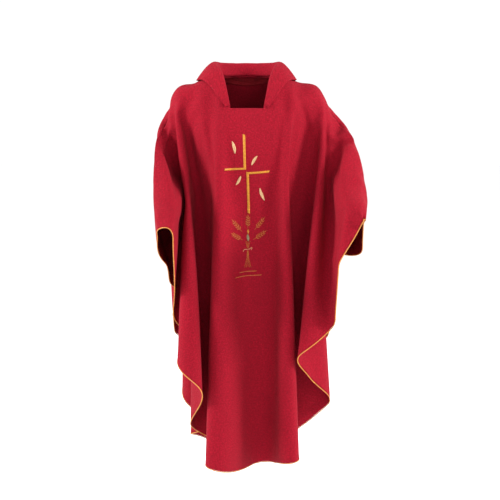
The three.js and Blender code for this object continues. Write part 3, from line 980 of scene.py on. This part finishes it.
def embroidery(panels, gold, wheat, cream, sage):
    """The cross over a sheaf of wheat, with four plain leaves round the cross."""
    chance = random.Random(7)
    pieces = [
        satin_piece("embroidered_cross_upper", panels, gold, "cross_upper",
                    [([(-9, 113), (-5.5, 4)], BAR / 2), ([(-2.5, 6), (-74, 3)], BAR / 2 * 0.8)],
                    chance),
        satin_piece("embroidered_cross_lower", panels, gold, "cross_lower",
                    [([(3.5, -5), (9, -137)], BAR / 2), ([(0, -9), (74, -3)], BAR / 2 * 0.8)],
                    chance)]
    for name, node, start, end, width, bend in (
            ("leaf_upper_left", "petal_upper_left", (-46, 92), (-38, 54), 9, 0.10),
            ("leaf_lower_left", "petal_lower_left", (-34, -46), (-18, -18), 8, -0.10),
            ("leaf_upper_right", "petal_upper_right", (34, 46), (16, 18), 8, -0.10),
            ("leaf_lower_right", "petal_lower_right", (60, -96), (44, -56), 9, 0.10)):
        pieces.append(leaf_piece(name, panels, cream, node, start, end, width, bend, chance))
    for name, node, tip, foot in (
            ("ear_centre", "wheat_ear_centre", (7, -142), (7, -187)),
            ("ear_upper_left", "wheat_ear_upper_left", (-48, -158), (-12, -197)),
            ("ear_upper_right", "wheat_ear_upper_right", (61, -152), (29, -190)),
            ("ear_lower_left", "wheat_ear_lower_left", (-54, -200), (-9, -225)),
            ("ear_lower_right", "wheat_ear_lower_right", (69, -195), (26, -222))):
        pieces.append(ear_piece(name, panels, wheat, node, tip, foot, chance))
    pieces.append(satin_piece("drop_over_bud", panels, gold, "gold_drop",
                              [([(8, -190), (8, -203)], spindle_width(6, 0.4))], chance))
    pieces.append(satin_piece("bud", panels, sage, "wheat_bud",
                              [([(8, -206), (8, -227)], spindle_width(9, 0.4))], chance,
                              slant=0.7))
    pieces.append(strand_piece(
        "stalks_over_tie", panels, wheat, "wheat_stalks_upper",
        [curve_through([(8 + 7 * s, -228), (8 + 4 * s, -240), (8 + 2 * s, -250)])
         for s in (-1, -0.4, 0.4, 1)], 0.50, chance))
    pieces.append(strand_piece(
        "tie_bow", panels, cream, "wheat_tie",
        [curve_through([(-7, -262), (-5, -257), (-1, -255), (8, -255), (15, -253), (20, -248),
                        (22, -251), (19, -256)], 40)], 0.6, chance))
    pieces.append(strand_piece(
        "stalks_under_tie", panels, wheat, "wheat_stalks_lower",
        [curve_through([(8.3 + 1.6 * s, -259), (8.5 + 3.4 * s, -285), (9 + 10.5 * s, -314)])
         for s in (-1, -0.45, 0.1, 0.55, 1)], 0.50, chance))
    for name, node, start, end in (
            ("ground_stitch_upper", "ground_line_upper", (-21, -331), (38, -327)),
            ("ground_stitch_lower", "ground_line_lower", (-40, -346), (55, -341))):
        middle = ((start[0] + end[0]) / 2, (start[1] + end[1]) / 2 + 1.5)
        pieces.append(strand_piece(name, panels, wheat, node,
                                   [curve_through([start, middle, end])], 0.9, chance))
    return pieces


# ---------------------------------------------------------------- materials

class Nodes:
    """Short way to write a material's nodes."""

    def __init__(self, name):
        self.material = bpy.data.materials.new(name)
        self.material.use_nodes = True
        self.tree = self.material.node_tree
        self.shader = self.tree.nodes["Principled BSDF"]

    def new(self, kind, **inputs):
        """Node of that kind; an input given as a socket is linked, else it is set."""
        node = self.tree.nodes.new(kind)
        for name, value in inputs.items():
            self.feed(node.inputs[name.replace("_", " ")], value)
        return node

    def feed(self, socket, value):
        if isinstance(value, bpy.types.NodeSocket):
            self.tree.links.new(value, socket)
        else:
            socket.default_value = value

    def math(self, operation, a, b=0.0):
        node = self.tree.nodes.new("ShaderNodeMath")
        node.operation = operation
        self.feed(node.inputs[0], a)
        self.feed(node.inputs[1], b)
        return node.outputs[0]

    def places(self, scale):
        """The flat cloth's coordinates in metres, scaled."""
        uv = self.tree.nodes.new("ShaderNodeUVMap")
        uv.uv_map = "cloth"
        mapping = self.new("ShaderNodeMapping", Vector=uv.outputs[0], Scale=scale)
        return mapping.outputs[0]

    def noise(self, scale, detail=3.0, roughness=0.55):
        node = self.new("ShaderNodeTexNoise", Vector=self.places(scale), Scale=1.0,
                        Detail=detail, Roughness=roughness)
        return node.outputs["Fac"]

    def mix(self, factor, a, b, blend="MIX"):
        node = self.tree.nodes.new("ShaderNodeMix")
        node.data_type, node.blend_type = "RGBA", blend
        self.feed(node.inputs[0], factor)
        self.feed(node.inputs[6], a)
        self.feed(node.inputs[7], b)
        return node.outputs[2]

    def spread(self, value, low, high, to_low=0.0, to_high=1.0):
        node = self.new("ShaderNodeMapRange", Value=value, From_Min=low, From_Max=high,
                        To_Min=to_low, To_Max=to_high)
        return node.outputs[0]

    def bump(self, height, strength, distance):
        node = self.new("ShaderNodeBump", Height=height, Strength=strength, Distance=distance)
        self.tree.links.new(node.outputs[0], self.shader.inputs["Normal"])

    def set(self, **values):
        for name, value in values.items():
            self.feed(self.shader.inputs[name.replace("_", " ")], value)
        return self.material


def woven(name, colour, deep, pale, sheen, pitch=0.0009):
    """Matte woven cloth: crossing threads, slubs along both, and a little unevenness in the
    dye. colour, deep and pale are linear RGB."""
    n = Nodes(name)
    u = n.new("ShaderNodeSeparateXYZ", Vector=n.places((1, 1, 1)))
    warp = n.math("SINE", n.math("MULTIPLY", u.outputs[0], 2 * math.pi / pitch))
    weft = n.math("SINE", n.math("MULTIPLY", u.outputs[1], 2 * math.pi / pitch))
    weave = n.math("MULTIPLY", warp, weft)
    slub_warp = n.noise((900, 70, 1))
    slub_weft = n.noise((70, 900, 1))
    slubs = n.math("ADD", n.math("MULTIPLY", slub_warp, 0.5), n.math("MULTIPLY", slub_weft, 0.5))
    speckle = n.noise((190, 190, 1), 3.0, 0.8)
    cloudy = n.noise((7, 5, 1), 4.0)
    tone = n.mix(n.spread(slubs, 0.36, 0.64), (*deep, 1), (*colour, 1))
    tone = n.mix(n.spread(speckle, 0.44, 0.66, 0.0, 0.60), tone, (*pale, 1))
    tone = n.mix(n.spread(cloudy, 0.35, 0.75, 0.0, 0.30), tone, (*deep, 1))
    tone = n.mix(n.spread(weave, -1, 1, 0.0, 0.22), tone, (*deep, 1))
    height = n.math("ADD", n.math("MULTIPLY", weave, 0.5), n.math("MULTIPLY", slubs, 1.6))
    height = n.math("ADD", height, n.math("MULTIPLY", speckle, 0.7))
    n.bump(height, 0.55, 0.0004)
    roughness = n.spread(slubs, 0.3, 0.7, 0.82, 0.94)
    return n.set(Base_Color=tone, Roughness=roughness, Specular_IOR_Level=0.12,
                 Sheen_Weight=sheen, Sheen_Roughness=0.45, Sheen_Tint=(1.0, 0.42, 0.44, 1))


def thread(name, colour, deep, pale):
    """Silky embroidery thread: fine plies along each stitch and gently uneven dye."""
    n = Nodes(name)
    plies = n.noise((300, 5200, 1), 2.0)
    stitches = n.noise((60, 1 / (STITCH_PITCH / 1000), 1), 1.0)
    patches = n.noise((130, 130, 1), 2.0)
    tone = n.mix(n.spread(stitches, 0.35, 0.68), (*deep, 1), (*colour, 1))
    tone = n.mix(n.spread(patches, 0.5, 0.78, 0.0, 0.7), tone, (*pale, 1))
    n.bump(n.math("ADD", plies, stitches), 0.5, 0.0003)
    roughness = n.spread(plies, 0.3, 0.7, 0.34, 0.52)
    return n.set(Base_Color=tone, Roughness=roughness, Specular_IOR_Level=0.35,
                 Anisotropic=0.5, Sheen_Weight=0.06, Sheen_Roughness=0.35,
                 Sheen_Tint=(1.0, 0.85, 0.55, 1))


def corded(name, colour, deep, pale):
    """Gold cord: strands with fine fibres running round them."""
    n = Nodes(name)
    fibres = n.noise((2600, 900, 1), 3.0)
    wear = n.noise((45, 45, 1), 2.0)
    tone = n.mix(n.spread(fibres, 0.35, 0.65), (*deep, 1), (*colour, 1))
    tone = n.mix(n.spread(wear, 0.5, 0.8, 0.0, 0.6), tone, (*pale, 1))
    n.bump(fibres, 0.6, 0.0003)
    roughness = n.spread(fibres, 0.3, 0.7, 0.42, 0.60)
    return n.set(Base_Color=tone, Roughness=roughness, Specular_IOR_Level=0.5,
                 Sheen_Weight=0.08, Sheen_Roughness=0.4, Sheen_Tint=(1.0, 0.80, 0.45, 1))


# ---------------------------------------------------------------- assembly

places, triangles = sewn_cut()
cloth, rest_key = cloth_object(places, triangles)
quads = [(FRONT if p.material_index == 0 else BACK, list(p.vertices)) for p in cloth.data.polygons]
draped = drape(cloth, rest_key)
draped[:, 1] = DEPTH_SHARE * draped[:, 1] + FORWARD
bpy.data.objects.remove(cloth)

panels = {side: Panel(side, places, draped, [f for s, f in quads if s == side])
          for side in (FRONT, BACK)}

red = woven("red_cloth", (0.26, 0.0020, 0.0100), (0.13, 0.0012, 0.0070),
            (0.42, 0.0050, 0.025), 0.02)
facing_red = woven("facing_cloth", (0.30, 0.008, 0.016), (0.20, 0.005, 0.010),
                   (0.38, 0.03, 0.04), 0.05, pitch=0.0006)
stiffening = woven("interlining", (0.70, 0.62, 0.46), (0.58, 0.50, 0.36), (0.80, 0.72, 0.58),
                   0.1, pitch=0.0007)
gold_cord = corded("gold_cord", (0.56, 0.20, 0.014), (0.32, 0.09, 0.008), (0.74, 0.34, 0.04))
gold = thread("gold_thread", (0.60, 0.255, 0.012), (0.36, 0.125, 0.006), (0.78, 0.40, 0.035))
wheat = thread("wheat_thread", (0.48, 0.135, 0.012), (0.25, 0.055, 0.006), (0.66, 0.25, 0.03))
cream = thread("cream_thread", (0.62, 0.40, 0.20), (0.46, 0.26, 0.12), (0.76, 0.56, 0.34))
sage = thread("sage_thread", (0.26, 0.22, 0.10), (0.15, 0.11, 0.05), (0.40, 0.34, 0.17))

front = panel_piece("cloth_front", panels[FRONT], red, "front_panel")
back = panel_piece("cloth_back", panels[BACK], red, "back_panel")
front_cord = hem_cord("cord_front_hem", panels[FRONT], gold_cord, "front_hem_cord")
back_cord = hem_cord("cord_back_hem", panels[BACK], gold_cord, "back_hem_cord")
front_facing = facing("facing_front", panels[FRONT], facing_red, "neck_facing_front")
back_facing = facing("facing_back", panels[BACK], facing_red, "neck_facing_back")
left_tape = seam_tape("tape_left", panels, LEFT, facing_red, "seam_tape_left")
right_tape = seam_tape("tape_right", panels, RIGHT, facing_red, "seam_tape_right")
collar_pieces = collar(panels, red, stiffening)
stitched = embroidery(panels, gold, wheat, cream, sage)

# ---------------------------------------------------------------- studio

def make_floor():
    bm = bmesh.new()
    bmesh.ops.create_grid(bm, x_segments=8, y_segments=8, size=30)
    mesh = bpy.data.meshes.new("floor")
    bm.to_mesh(mesh)
    bm.free()
    floor = link(bpy.data.objects.new("floor", mesh))
    floor.location.z = FLOOR
    n = Nodes("floor")
    n.set(Base_Color=(0.97, 0.97, 0.97, 1), Roughness=0.9, Specular_IOR_Level=0.1)
    mesh.materials.append(n.material)


def area_light(name, place, aim, size, power, colour=(1, 1, 1)):
    data = bpy.data.lights.new(name, "AREA")
    data.shape, data.size, data.energy, data.color = "DISK", size, power, colour
    light = link(bpy.data.objects.new(name, data))
    light.location = place
    light.rotation_euler = (Vector(aim) - Vector(place)).to_track_quat("-Z", "Y").to_euler()


def make_studio():
    make_floor()
    world = bpy.data.worlds.new("studio")
    world.use_nodes = True
    background = world.node_tree.nodes["Background"]
    background.inputs["Color"].default_value = (1.0, 1.0, 1.0, 1)
    background.inputs["Strength"].default_value = 1.05
    bpy.context.scene.world = world
    area_light("key", (2.0, -3.0, 2.1), (0, 0, -0.5), 1.2, 28, (1.0, 0.985, 0.96))
    area_light("left", (-3.3, -0.8, 1.2), (-0.3, 0, -0.3), 1.2, 215)
    area_light("right", (3.3, -1.0, 1.2), (0.3, 0, -0.3), 1.2, 210)
    bpy.context.scene.view_settings.view_transform = "Standard"


make_studio()
